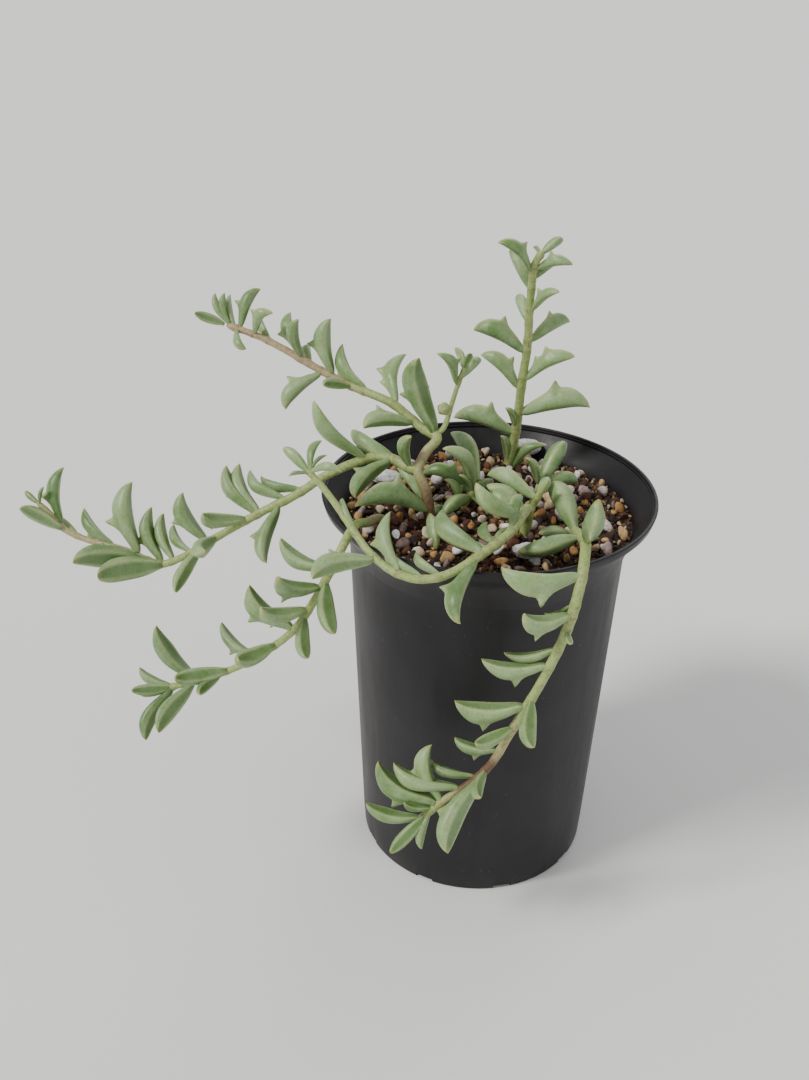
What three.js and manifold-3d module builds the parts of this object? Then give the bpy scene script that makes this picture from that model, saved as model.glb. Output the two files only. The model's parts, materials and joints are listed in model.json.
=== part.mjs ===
// Potted string of dolphins: a trailing succulent in a tall tapered nursery pot.
// Millimetres, +Z up. The origin is the middle of the pot's underside.
import * as THREE from 'three';
import { mergeVertices } from 'three/addons/utils/BufferGeometryUtils.js';
import Module from 'manifold-3d';

const wasm = await Module();
wasm.setup();

// Driving dimensions of the pot.
const potHeight = 152;
const rimRadius = 60;          // outside of the turned-out rim
const neckRadius = 50;         // outside of the wall where the rim starts to turn out
const neckHeight = 132;
const footRadius = 45;         // outside of the wall at the bottom
const wall = 1.4;
const floorThickness = 1.6;
const rimLipHeight = 2.2;
const potSegments = 44;

// The underside: a flat middle, a raised drainage channel and a notched foot ring.
const middleRadius = 21;
const channelInner = 23;
const channelOuter = 37;
const channelRise = 3;
const drainHoles = 6;
const drainRadius = 4.6;
const drainCircle = 30;
const notches = 9;
const notchWidth = 7;
const notchHeight = 1.6;
const firstNotchAngle = 247.5; // degrees from +X
const slopeOfFoot = 1;

// The growing mix.
const mixTop = 142;
const mixMound = 1.5;
const gap = 0.3;               // air between pieces that touch
const socketDepth = 6;
const socketClearance = 0.8;

// Stems and leaves.
const stemSides = 8;
const stemStep = 7;            // length of one facet along a stem
const petioleRadius = 0.75;
const leafArch = 0.23;         // height of the leaf's arch, as a part of its length
const leafDepth = 0.145;       // half of its depth, back to belly
const leafThickness = 0.085;   // half of its thickness, side to side
const finHeight = 0.085;

const plantRoot = new THREE.Group();
plantRoot.name = 'potted_string_of_dolphins';

const materials = {
  pot: new THREE.MeshStandardMaterial({ color: 0x1b191c, roughness: 0.45, metalness: 0 }),
  mix: new THREE.MeshStandardMaterial({ color: 0x4a3429, roughness: 0.95, metalness: 0 }),
  pumice: new THREE.MeshStandardMaterial({ color: 0xe8e4e6, roughness: 0.85, metalness: 0 }),
  greenStem: new THREE.MeshStandardMaterial({ color: 0xa3b07a, roughness: 0.55, metalness: 0 }),
  woodyStem: new THREE.MeshStandardMaterial({ color: 0xa08a68, roughness: 0.7, metalness: 0 }),
  leaf: new THREE.MeshStandardMaterial({ color: 0x86a583, roughness: 0.5, metalness: 0 }),
  bud: new THREE.MeshStandardMaterial({ color: 0x93a562, roughness: 0.55, metalness: 0 }),
};

function addPiece(name, geometry, material) {
  const piece = new THREE.Mesh(geometry, material);
  piece.name = name;
  plantRoot.add(piece);
  return piece;
}

// A closed three.js geometry as a solid that can be joined and cut, and back again.
function toSolid(geometry) {
  const bare = geometry.clone();
  bare.deleteAttribute('normal');
  bare.deleteAttribute('uv');
  const merged = mergeVertices(bare, 1e-4);
  return new wasm.Manifold(new wasm.Mesh({
    numProp: 3,
    vertProperties: Float32Array.from(merged.attributes.position.array),
    triVerts: Uint32Array.from(merged.index.array),
  }));
}

function fromSolid(solid) {
  const mesh = solid.getMesh();
  const geometry = new THREE.BufferGeometry();
  geometry.setAttribute('position', new THREE.BufferAttribute(mesh.vertProperties, 3));
  geometry.setIndex(new THREE.BufferAttribute(mesh.triVerts, 1));
  geometry.computeVertexNormals();
  return geometry;
}

// A turned shape from [radius, height] pairs; LatheGeometry turns about +Y, so it is tipped to +Z.
function turned(outline, segments = potSegments) {
  const points = outline.map(([radius, height]) => new THREE.Vector2(radius, height));
  return new THREE.LatheGeometry(points, segments).rotateX(Math.PI / 2);
}

function uprightCylinder(radius, bottom, top, x, y, sides = 16) {
  const height = top - bottom;
  const cylinder = new THREE.CylinderGeometry(radius, radius, height, sides);
  return cylinder.rotateX(Math.PI / 2).translate(x, y, bottom + height / 2);
}

// ---------- pot ----------
const flare = [
  [0, 0],
  [0.17, 0.3],
  [0.45, 0.62],
  [0.8, 0.86],
  [1, 1],
];

function flarePoints(inset) {
  const top = potHeight - rimLipHeight;
  return flare.map(([out, up]) => [
    neckRadius - inset + out * (rimRadius - neckRadius),
    neckHeight + up * (top - neckHeight),
  ]);
}

function makePot() {
  const channelFloor = channelRise + floorThickness;
  const outline = [
    [0, 0],
    [middleRadius, 0],
    [channelInner, channelRise],
    [channelOuter, channelRise],
    [channelOuter + slopeOfFoot, 0],
    [footRadius - slopeOfFoot, 0],
    [footRadius, slopeOfFoot],
    ...flarePoints(0),
    [rimRadius, potHeight],
    [rimRadius - wall, potHeight],
    ...flarePoints(wall).reverse(),
    [footRadius - wall, floorThickness],
    [channelOuter + slopeOfFoot + wall, floorThickness],
    [channelOuter + slopeOfFoot, channelFloor],
    [channelInner - slopeOfFoot, channelFloor],
    [middleRadius - wall, floorThickness],
    [0, floorThickness],
  ];
  let pot = toSolid(turned(outline));
  for (let i = 0; i < drainHoles; i += 1) {
    const angle = (2 * Math.PI * (i + 0.5)) / drainHoles;
    const x = drainCircle * Math.cos(angle);
    const y = drainCircle * Math.sin(angle);
    pot = pot.subtract(toSolid(uprightCylinder(drainRadius, 0, 2 * channelFloor, x, y)));
  }
  for (let i = 0; i < notches; i += 1) {
    const turn = THREE.MathUtils.degToRad(firstNotchAngle + (360 * i) / notches);
    const reach = footRadius - channelOuter + 4;
    const notch = new THREE.BoxGeometry(reach, notchWidth, 2 * notchHeight);
    notch.translate(channelOuter + reach / 2 - 0.5, 0, 0).rotateZ(turn);
    const floorAbove = new THREE.BoxGeometry(reach + 2, notchWidth + 2 * wall, wall);
    floorAbove.translate(channelOuter + reach / 2 - 1.5, 0, notchHeight + wall / 2).rotateZ(turn);
    const insideWall = toSolid(turned([
      [0, 0],
      [footRadius - wall / 2, 0],
      [footRadius - wall / 2, notchHeight + wall],
      [0, notchHeight + wall],
    ]));
    pot = pot.add(toSolid(floorAbove).intersect(insideWall)).subtract(toSolid(notch));
  }
  return fromSolid(pot);
}

addPiece('pot', makePot(), materials.pot);

// ---------- stems ----------
// Each stem is a route through points chosen in the plant, from its root end to its tip.
// Its leaves are listed by how far along they sit and where the tip lies from the base.
const stems = {
  trunk_and_upper_left_stem: {
    radius: 1.75,
    rooted: true,
    route: [[-20, -14, 136], [-20, -14, 143], [-22, -12, 156], [-25, -9, 162], [-23, -6, 167],
      [-19, -2, 172], [-25, 2, 173.5], [-35, 6, 180], [-45, 9, 183], [-52, 12, 184], [-63, 16, 188],
      [-84, 21, 197], [-98, 25, 200]],
    leaves: [
      { at: 14, tip: [-24, -13, 6], fins: 1 },
      { at: 44, tip: [-5, 1, 28], fins: 1 },
      { at: 53, tip: [-16, -12, 1], fins: 1 },
      { at: 62, tip: [3, 15, 13], fins: 2 },
      { at: 74, tip: [-10, 12, 13], fins: 1 },
      { at: 88, tip: [-1, 4, 20], fins: 1 },
      { at: 92, tip: [-11, -10, -12], fins: 1 },
      { at: 126, tip: [8, 6, 13], fins: 1 },
      { at: 132, tip: [-11, -4, 6], fins: 0 },
    ],
  },
  upright_stem: {
    radius: 1.7,
    rooted: true,
    route: [[7, 37, 136], [7, 37, 143], [9, 35, 160], [10, 33, 180], [11, 32, 193], [11, 30, 214],
      [12, 28, 228], [14, 27, 231]],
    leaves: [
      { at: 23, tip: [-24, 1, 4], fins: 1 },
      { at: 32, tip: [25, -1, 3], fins: 1 },
      { at: 42, tip: [-16, 4, 11], fins: 1 },
      { at: 46, tip: [18, -3, 10], fins: 2 },
      { at: 57, tip: [-20, 2, 6], fins: 1 },
      { at: 61, tip: [15, 9, 4], fins: 1 },
      { at: 89, tip: [14, -3, 3], fins: 1 },
    ],
  },
  long_left_stem: {
    radius: 1.7,
    route: [[-28.5, -7, 162], [-33, -4, 163], [-41, -2, 163], [-51, -7, 161], [-60, -10, 157],
      [-67, -12, 152], [-80, -14, 145], [-97, -15, 134], [-110, -15, 125], [-119, -14, 121],
      [-132, -11, 124], [-150, -7, 126], [-158, -5, 129], [-163, -4, 135], [-167, -3, 138]],
    leaves: [
      { at: 8, tip: [-10, -18, -6], fins: 1 },
      { at: 18, tip: [-17, -1, 22], fins: 0 },
      { at: 66, tip: [-13, -12, 9], fins: 1 },
      { at: 84, tip: [-8, 6, 17], fins: 1 },
      { at: 105, tip: [-5, 12, 16], fins: 1 },
      { at: 110, tip: [-24, -13, 5], fins: 1 },
      { at: 115, tip: [-3, 12, 24], fins: 1 },
      { at: 146, tip: [-12, -8, 11], fins: 1 },
      { at: 148, tip: [1, 10, 19], fins: 1 },
    ],
  },
  lower_left_stem: {
    radius: 1.65,
    rooted: true,
    route: [[-37, -13, 136], [-37, -13, 144], [-41, -25, 149], [-44, -40, 155], [-47, -48, 151],
      [-55, -50, 134], [-63, -50, 120], [-71, -50, 112], [-84, -49, 102], [-103, -47, 92],
      [-110, -46, 89]],
    leaves: [
      { at: 57, tip: [-17, 9, 7], fins: 0 },
      { at: 64, tip: [-12, -12, 11], fins: 1 },
      { at: 84, tip: [-16, 5, 15], fins: 1 },
      { at: 93, tip: [-10, -16, 4], fins: 1 },
      { at: 115, tip: [-15, -13, 6], fins: 1 },
      { at: 130, tip: [-9, -17, -11], fins: 0 },
    ],
  },
  front_stem: {
    radius: 1.85,
    rooted: true,
    route: [[30, -17, 136], [30, -17, 144], [32, -36, 153], [31.5, -52, 157.5], [30, -63, 152],
      [27, -66, 137], [20, -67, 116], [13, -67, 99], [5, -68, 81], [-2, -70, 74], [-10, -72, 68],
      [-19, -73, 58]],
    leaves: [
      { at: 41, tip: [3, -7, 20], fins: 1 },
      { at: 57, tip: [-25, -1, 3], fins: 1 },
      { at: 70, tip: [-15, -11, 7], fins: 1 },
      { at: 90, tip: [-21, 1, 1], fins: 1 },
      { at: 108, tip: [-24, 0, 1], fins: 1 },
      { at: 141, tip: [-8, -19, -17], fins: 1 },
      { at: 158, tip: [-21, 7, 12], fins: 1 },
      { at: 164, tip: [-10, -12, -7], fins: 0 },
    ],
  },
  rim_stem: {
    radius: 1.65,
    rooted: true,
    route: [[13, -17, 136], [13, -17, 143], [14, -19, 151], [13, -28, 159], [8, -43, 158.5],
      [-2, -56, 156], [-12, -63, 152.5], [-20, -64, 151], [-29, -61.5, 152], [-39, -52, 155],
      [-44, -46, 158.5], [-54, -38, 168], [-60, -35, 173]],
    leaves: [
      { at: 37, tip: [-15, -6, 16], fins: 0 },
      { at: 63, tip: [-2, -20, -11], fins: 1 },
      { at: 99, tip: [-17, -15, 0], fins: 1 },
    ],
  },
  rim_side_shoot: {
    radius: 1.5,
    route: [[15.3, -17, 154.5], [17, -18, 159], [20, -19, 166]],
    leaves: [],
  },
  budding_shoot: {
    radius: 1.3,
    route: [[-17, 0.5, 174.5], [-15.5, 2, 179], [-13.5, 3, 187], [-10.5, 3, 197]],
    leaves: [
      { at: 17, tip: [-7, -4, 12], fins: 1 },
    ],
  },
  back_shoot: {
    radius: 1.4,
    rooted: true,
    route: [[14, -3, 136], [14, -3, 143], [16, -3, 150], [18, -2, 157]],
    leaves: [],
  },
  middle_shoot: {
    radius: 1.4,
    rooted: true,
    route: [[-9, 0, 136], [-9, 0, 144], [-6, 1, 149], [-3, 2, 154]],
    leaves: [
      { at: 17, tip: [-12, -8, 19], fins: 0 },
    ],
  },
};

function stemCurve(stem) {
  const points = stem.route.map(([x, y, z]) => new THREE.Vector3(x, y, z));
  return new THREE.CatmullRomCurve3(points, false, 'centripetal');
}

function stemGeometry(stem) {
  const section = new THREE.Shape();
  for (let i = 0; i < stemSides; i += 1) {
    const angle = (2 * Math.PI * i) / stemSides;
    const x = stem.radius * Math.cos(angle);
    const y = stem.radius * Math.sin(angle);
    if (i === 0) section.moveTo(x, y);
    else section.lineTo(x, y);
  }
  section.closePath();
  const steps = Math.max(3, Math.round(stem.curve.getLength() / stemStep));
  return new THREE.ExtrudeGeometry(section, {
    steps,
    extrudePath: stem.curve,
    bevelEnabled: false,
    curveSegments: 1,
  });
}

// ---------- leaves ----------
// A leaf arches from its base to its tip with its back towards the growing end of the stem.
// Its stations run along the arch: [place, half depth, half thickness], each as a part of the full size.
const leafStations = [
  [0.1, 0.5, 0.55],
  [0.26, 0.84, 0.9],
  [0.44, 1, 1],
  [0.62, 0.9, 0.92],
  [0.8, 0.62, 0.68],
];
const finStation = { 0: [], 1: [2], 2: [1, 3] };
// The six corners of a section: [towards the back, towards the side].
const leafSection = [[1, 0], [0.35, 0.9], [-0.45, 0.85], [-1, 0], [-0.45, -0.85], [0.35, -0.9]];

function leafGeometry(base, tip, growth, fins) {
  const chord = tip.clone().sub(base);
  const length = chord.length();
  const along = chord.clone().normalize();
  const back = growth.clone().addScaledVector(along, -growth.dot(along)).normalize();
  const side = new THREE.Vector3().crossVectors(along, back);
  // A leaf that lies along the stem is straighter than one that stands out from it.
  const arch = leafArch * length * THREE.MathUtils.clamp(1 - along.dot(growth), 0.3, 1.2);
  const positions = [];

  function addRing(place, halfDepth, halfThickness, fin) {
    const centre = base.clone().addScaledVector(chord, place);
    centre.addScaledVector(back, 4 * arch * place * (1 - place));
    const lean = (4 * arch * (1 - 2 * place)) / length;
    const up = back.clone().addScaledVector(along, -lean).normalize();
    leafSection.forEach(([towardsBack, towardsSide], corner) => {
      const point = centre.clone();
      const rise = corner === 0 ? halfDepth + fin : halfDepth * towardsBack;
      point.addScaledVector(up, rise);
      point.addScaledVector(side, halfThickness * towardsSide);
      positions.push(point);
    });
  }

  addRing(0, petioleRadius, petioleRadius, 0);
  leafStations.forEach(([place, depth, thickness], i) => {
    const fin = finStation[fins].includes(i) ? finHeight * length : 0;
    addRing(place, depth * leafDepth * length, thickness * leafThickness * length, fin);
  });
  const rings = leafStations.length + 1;
  const corners = leafSection.length;
  positions.push(base.clone(), tip.clone());
  const baseIndex = rings * corners;
  const tipIndex = baseIndex + 1;
  const faces = [];
  for (let corner = 0; corner < corners; corner += 1) {
    const next = (corner + 1) % corners;
    faces.push(baseIndex, next, corner);
    for (let ring = 0; ring < rings - 1; ring += 1) {
      const a = ring * corners + corner;
      const b = ring * corners + next;
      faces.push(a, b, b + corners, a, b + corners, a + corners);
    }
    const last = (rings - 1) * corners;
    faces.push(last + corner, last + next, tipIndex);
  }
  const geometry = new THREE.BufferGeometry();
  const flat = positions.flatMap((point) => point.toArray());
  geometry.setAttribute('position', new THREE.Float32BufferAttribute(flat, 3));
  geometry.setIndex(faces);
  geometry.computeVertexNormals();
  return geometry;
}

// The leaf starts just off the stem's skin, on the side that it leaves from.
function leafOnStem(stem, { at, tip, fins }) {
  const u = Math.min(1, at / stem.curve.getLength());
  const centre = stem.curve.getPointAt(u);
  const growth = stem.curve.getTangentAt(u);
  const reach = new THREE.Vector3(...tip);
  const outward = reach.clone().addScaledVector(growth, -reach.dot(growth)).normalize();
  const standOff = stem.radius + petioleRadius + gap;
  const base = centre.clone().addScaledVector(u < 1 ? outward : growth, standOff);
  return leafGeometry(base, centre.clone().add(reach), growth, fins);
}

for (const [name, stem] of Object.entries(stems)) {
  stem.curve = stemCurve(stem);
  addPiece(name, stemGeometry(stem), stem.rooted ? materials.woodyStem : materials.greenStem);
  stem.leaves.forEach((leaf, i) => {
    addPiece(`${name}_leaf_${i + 1}`, leafOnStem(stem, leaf), materials.leaf);
  });
}

// The round flower bud stands on the budding shoot's side, on a stalk too short to show.
const budRadius = 2.6;
const bud = new THREE.SphereGeometry(budRadius, 10, 7).scale(1, 1, 1.1).rotateX(Math.PI / 2);
bud.translate(-17, -2.6, 183);
addPiece('flower_bud', bud, materials.bud);

// ---------- growing mix ----------
function innerWallRadius(height) {
  const profile = [[footRadius - wall, floorThickness], ...flarePoints(wall)];
  const upper = profile.findIndex(([, z]) => z >= height);
  const [r0, z0] = profile[upper - 1];
  const [r1, z1] = profile[upper];
  return r0 + ((r1 - r0) * (height - z0)) / (z1 - z0);
}

function makeMix() {
  const channelFloor = channelRise + floorThickness + gap;
  const floorTop = notchHeight + wall + 2 * gap;
  const outline = [
    [0, floorTop],
    [middleRadius - wall - gap, floorTop],
    [channelInner - slopeOfFoot - gap, channelFloor],
    [channelOuter + slopeOfFoot + gap, channelFloor],
    [channelOuter + slopeOfFoot + wall + gap, floorTop],
    [footRadius - wall - 2 * gap, floorTop],
    [innerWallRadius(neckHeight) - 2 * gap, neckHeight],
    [innerWallRadius(mixTop) - 3 * gap, mixTop],
    [30, mixTop + 0.4 * mixMound],
    [0, mixTop + mixMound],
  ];
  let mix = toSolid(turned(outline));
  for (const stem of Object.values(stems)) {
    if (stem.rooted) {
      const [x, y] = stem.route[0];
      const bottom = stem.route[0][2] - socketClearance;
      const socket = uprightCylinder(stem.radius + socketClearance, bottom, mixTop + 6, x, y, 12);
      mix = mix.subtract(toSolid(socket));
    }
  }
  return fromSolid(mix);
}

addPiece('growing_mix', makeMix(), materials.mix);

// ---------- stones that lie on the mix ----------
// Each is a lump with a few broad facets: [name, x, y, length, width, height, turn in degrees].
const stones = [
  ['back_pumice_stone', 14, 49, 13, 8, 6, 10],
  ['left_pumice_stone', -39, 17, 14, 6, 5, 20],
  ['front_pumice_stone', 15, -34, 12, 7, 5, -10],
];

function stoneGeometry(length, width, height) {
  const lump = new THREE.SphereGeometry(0.5, 8, 5).rotateX(Math.PI / 2).rotateZ(0.3);
  const corners = lump.attributes.position;
  for (let i = 0; i < corners.count; i += 1) {
    const x = corners.getX(i);
    const y = corners.getY(i);
    const z = corners.getZ(i);
    const facet = 1 + 0.12 * Math.sin(9 * x + 4 * z) * Math.cos(7 * y - 3 * z);
    corners.setXYZ(i, x * facet, y * facet, z * facet);
  }
  lump.scale(length, width, height);
  lump.computeVertexNormals();
  return lump;
}

for (const [name, x, y, length, width, height, turn] of stones) {
  const stone = stoneGeometry(length, width, height);
  stone.rotateZ(THREE.MathUtils.degToRad(turn));
  stone.computeBoundingBox();
  stone.translate(x, y, mixTop + mixMound + gap - stone.boundingBox.min.z);
  addPiece(name, stone, materials.pumice);
}

export default plantRoot;
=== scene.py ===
import json
import math

import bmesh
import bpy
import numpy as np
from mathutils import Matrix, Vector, noise

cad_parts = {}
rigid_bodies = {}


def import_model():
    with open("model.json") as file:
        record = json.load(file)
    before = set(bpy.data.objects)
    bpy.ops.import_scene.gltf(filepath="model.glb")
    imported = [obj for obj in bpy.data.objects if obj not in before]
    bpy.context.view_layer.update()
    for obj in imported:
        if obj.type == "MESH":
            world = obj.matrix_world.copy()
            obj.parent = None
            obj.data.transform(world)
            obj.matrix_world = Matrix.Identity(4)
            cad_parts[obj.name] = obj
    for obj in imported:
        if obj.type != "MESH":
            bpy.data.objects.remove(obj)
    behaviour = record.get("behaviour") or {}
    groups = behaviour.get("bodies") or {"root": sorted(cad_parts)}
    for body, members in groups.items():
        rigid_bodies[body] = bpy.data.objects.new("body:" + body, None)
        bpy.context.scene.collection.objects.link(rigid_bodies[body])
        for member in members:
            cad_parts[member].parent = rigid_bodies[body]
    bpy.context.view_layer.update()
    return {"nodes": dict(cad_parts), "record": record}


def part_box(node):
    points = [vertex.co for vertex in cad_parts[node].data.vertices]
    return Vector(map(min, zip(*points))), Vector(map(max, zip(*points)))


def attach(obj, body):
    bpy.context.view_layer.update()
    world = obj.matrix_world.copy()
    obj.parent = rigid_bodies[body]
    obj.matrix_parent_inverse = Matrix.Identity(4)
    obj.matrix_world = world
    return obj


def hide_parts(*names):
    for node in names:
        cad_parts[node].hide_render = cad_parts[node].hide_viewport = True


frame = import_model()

mm = 0.001
scene = bpy.context.scene


# camera, floor and light

cameraSettings = {
    "distance": 385.6,   # in front of the pot's middle
    "height": 346.2,
    "turn": 4.46,        # degrees to the left
    "down": 29.34,
    "roll": 0.97,
    "lens": 40.0,
}


def placeCamera(settings):
    data = bpy.data.cameras.new("camera")
    data.lens = settings["lens"]
    data.sensor_fit = "VERTICAL"
    data.sensor_height = 36
    data.clip_start = 0.01
    camera = bpy.data.objects.new("camera", data)
    scene.collection.objects.link(camera)
    place = Matrix.Translation((0, -settings["distance"] * mm, settings["height"] * mm))
    turn = Matrix.Rotation(math.radians(settings["turn"]), 4, "Z")
    tilt = Matrix.Rotation(math.radians(90 - settings["down"]), 4, "X")
    roll = Matrix.Rotation(math.radians(settings["roll"]), 4, "Z")
    camera.matrix_world = place @ turn @ tilt @ roll
    scene.camera = camera


placeCamera(cameraSettings)
print("camera placed")

lightSettings = {
    # name: where it shines from, degrees across, strength, colour
    "keyLight": ((-0.62, -0.35, 0.70), 14, 2.7, (1.0, 0.98, 0.94)),
    "fillLight": ((0.75, -0.50, 0.45), 50, 0.25, (0.93, 0.96, 1.0)),
    "backLight": ((0.25, 0.80, 0.55), 30, 0.45, (1.0, 1.0, 1.0)),
}


def placeLights(settings):
    for name, (place, across, strength, colour) in settings.items():
        data = bpy.data.lights.new(name, "SUN")
        data.angle = math.radians(across)
        data.energy = strength
        data.color = colour
        light = bpy.data.objects.new(name, data)
        scene.collection.objects.link(light)
        light.rotation_euler = Vector(place).to_track_quat("Z", "Y").to_euler()
    world = bpy.data.worlds.new("studio")
    world.use_nodes = True
    world.node_tree.nodes["Background"].inputs["Color"].default_value = (0.82, 0.82, 0.82, 1)
    world.node_tree.nodes["Background"].inputs["Strength"].default_value = 0.82
    scene.world = world


placeLights(lightSettings)


# helpers for objects, meshes and paths

def addObject(name, mesh):
    piece = bpy.data.objects.new(name, mesh)
    scene.collection.objects.link(piece)
    return piece


def meshFrom(name, points, faces, smooth=True):
    mesh = bpy.data.meshes.new(name)
    mesh.from_pydata([tuple(p) for p in points], [], faces)
    mesh.validate()
    if smooth:
        mesh.polygons.foreach_set("use_smooth", [True] * len(mesh.polygons))
    mesh.update()
    return mesh


def cleanMesh(mesh, distance=0.00001):
    work = bmesh.new()
    work.from_mesh(mesh)
    bmesh.ops.remove_doubles(work, verts=work.verts, dist=distance)
    bmesh.ops.recalc_face_normals(work, faces=work.faces)
    work.to_mesh(mesh)
    work.free()
    mesh.update()


def nodePoints(node):
    co = np.array([v.co for v in frame["nodes"][node].data.vertices], float)
    return np.unique(np.round(co, 6), axis=0)


def smoothPath(points, step):
    # a centripetal Catmull-Rom curve through the points, cut into even steps
    p = np.vstack([2 * points[0] - points[1], points, 2 * points[-1] - points[-2]])
    fine = []
    for i in range(1, len(p) - 2):
        knots = [0.0]
        for a, b in zip(p[i - 1:i + 2], p[i:i + 3]):
            knots.append(knots[-1] + max(np.linalg.norm(b - a), 1e-9) ** 0.5)
        t0, t1, t2, t3 = knots
        for t in np.linspace(t1, t2, 12, endpoint=False):
            a1 = ((t1 - t) * p[i - 1] + (t - t0) * p[i]) / (t1 - t0)
            a2 = ((t2 - t) * p[i] + (t - t1) * p[i + 1]) / (t2 - t1)
            a3 = ((t3 - t) * p[i + 1] + (t - t2) * p[i + 2]) / (t3 - t2)
            b1 = ((t2 - t) * a1 + (t - t0) * a2) / (t2 - t0)
            b2 = ((t3 - t) * a2 + (t - t1) * a3) / (t3 - t1)
            fine.append(((t2 - t) * b1 + (t - t1) * b2) / (t2 - t1))
    fine = np.array(fine + [p[-2]])
    run = np.r_[0, np.cumsum(np.linalg.norm(np.diff(fine, axis=0), axis=1))]
    marks = np.linspace(0, run[-1], max(2, int(round(run[-1] / step)) + 1))
    return np.stack([np.interp(marks, run, fine[:, k]) for k in range(3)], axis=1)


def pathLengths(path):
    return np.r_[0, np.cumsum(np.linalg.norm(np.diff(path, axis=0), axis=1))]


def pathPoint(path, distance):
    run = pathLengths(path)
    distance = min(max(distance, 0), run[-1])
    i = min(max(int(np.searchsorted(run, distance)), 1), len(path) - 1)
    share = (distance - run[i - 1]) / (run[i] - run[i - 1])
    growth = path[i] - path[i - 1]
    return path[i - 1] + share * growth, growth / np.linalg.norm(growth)


# helpers for node trees

def addNode(tree, kind, inputs=None, **settings):
    node = tree.nodes.new(kind)
    for key, value in settings.items():
        setattr(node, key, value)
    for key, value in (inputs or {}).items():
        if isinstance(value, bpy.types.NodeSocket):
            tree.links.new(value, node.inputs[key])
        else:
            node.inputs[key].default_value = value
    return node


def newMaterial(name):
    material = bpy.data.materials.new(name)
    material.use_nodes = True
    return material, material.node_tree, material.node_tree.nodes["Principled BSDF"]


def mixColour(tree, share, first, second, blend="MIX"):
    node = addNode(tree, "ShaderNodeMix", {0: share, 6: first, 7: second}, data_type="RGBA", blend_type=blend)
    return node.outputs[2]


def ramp(tree, value, stops):
    node = addNode(tree, "ShaderNodeValToRGB", {"Fac": value})
    while len(node.color_ramp.elements) < len(stops):
        node.color_ramp.elements.new(0.5)
    for element, (place, colour) in zip(node.color_ramp.elements, stops):
        element.position = place
        element.color = colour if len(colour) == 4 else (*colour, 1)
    return node.outputs["Color"]


def grey(value):
    return (value, value, value, 1)


def calculate(tree, operation, first, second, clamp=False):
    node = addNode(tree, "ShaderNodeMath", {0: first, 1: second}, operation=operation, use_clamp=clamp)
    return node.outputs[0]


def noiseValue(tree, where, scale, detail=3.0, roughness=0.55):
    inputs = {"Vector": where, "Scale": scale, "Detail": detail, "Roughness": roughness}
    return addNode(tree, "ShaderNodeTexNoise", inputs).outputs["Fac"]


def objectCoordinates(tree):
    return addNode(tree, "ShaderNodeTexCoord").outputs["Object"]


def bump(tree, height, strength, distance, under=None):
    inputs = {"Height": height, "Strength": strength, "Distance": distance}
    if under is not None:
        inputs["Normal"] = under
    return addNode(tree, "ShaderNodeBump", inputs).outputs["Normal"]


def attribute(tree, name):
    return addNode(tree, "ShaderNodeAttribute", attribute_name=name).outputs["Fac"]


def newTree(name, inputs):
    tree = bpy.data.node_groups.new(name, "GeometryNodeTree")
    tree.interface.new_socket("Geometry", in_out="INPUT", socket_type="NodeSocketGeometry")
    for label, kind, value in inputs:
        socket = tree.interface.new_socket(label, in_out="INPUT", socket_type=kind)
        if value is not None:
            socket.default_value = value
    tree.interface.new_socket("Geometry", in_out="OUTPUT", socket_type="NodeSocketGeometry")
    return tree, tree.nodes.new("NodeGroupInput"), tree.nodes.new("NodeGroupOutput")


def runTree(piece, tree, values):
    # the modifier's result becomes the piece's own mesh
    modifier = piece.modifiers.new(tree.name, "NODES")
    modifier.node_group = tree
    for item in tree.interface.items_tree:
        if item.in_out == "INPUT" and item.name in values:
            modifier[item.identifier] = values[item.name]
    graph = bpy.context.evaluated_depsgraph_get()
    made = piece.evaluated_get(graph)
    mesh = bpy.data.meshes.new_from_object(made, preserve_all_data_layers=True, depsgraph=graph)
    piece.modifiers.clear()
    piece.data = mesh
    mesh.name = piece.name
    return piece


def named(tree, name, kind):
    return addNode(tree, "GeometryNodeInputNamedAttribute", {"Name": name}, data_type=kind).outputs[0]


def finishPiece(piece, slot, *nodes):
    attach(piece, "root")
    if nodes:
        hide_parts(*nodes)


# floor

floorSettings = {"size": 30000, "colour": (0.78, 0.78, 0.77, 1), "roughness": 0.8}


def makeFloor(settings):
    half = settings["size"] / 2 * mm
    corners = [(-half, -half, 0), (half, -half, 0), (half, half, 0), (-half, half, 0)]
    floor = addObject("floor", meshFrom("floor", corners, [(0, 1, 2, 3)], smooth=False))
    material, tree, shader = newMaterial("paleFloor")
    shader.inputs["Base Color"].default_value = settings["colour"]
    shader.inputs["Roughness"].default_value = settings["roughness"]
    floor.data.materials.append(material)


makeFloor(floorSettings)
print("floor and light placed")


# pot

potSettings = {
    "turns": 144,
    "lipRadius": 0.5,       # the rest are mm of the underside
    "middleRadius": 21,
    "channelInner": 23,
    "channelOuter": 37,
    "channelRise": 3,
    "colour": (0.0055, 0.005, 0.0058),
    "dust": (0.15, 0.14, 0.15),
}


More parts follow.
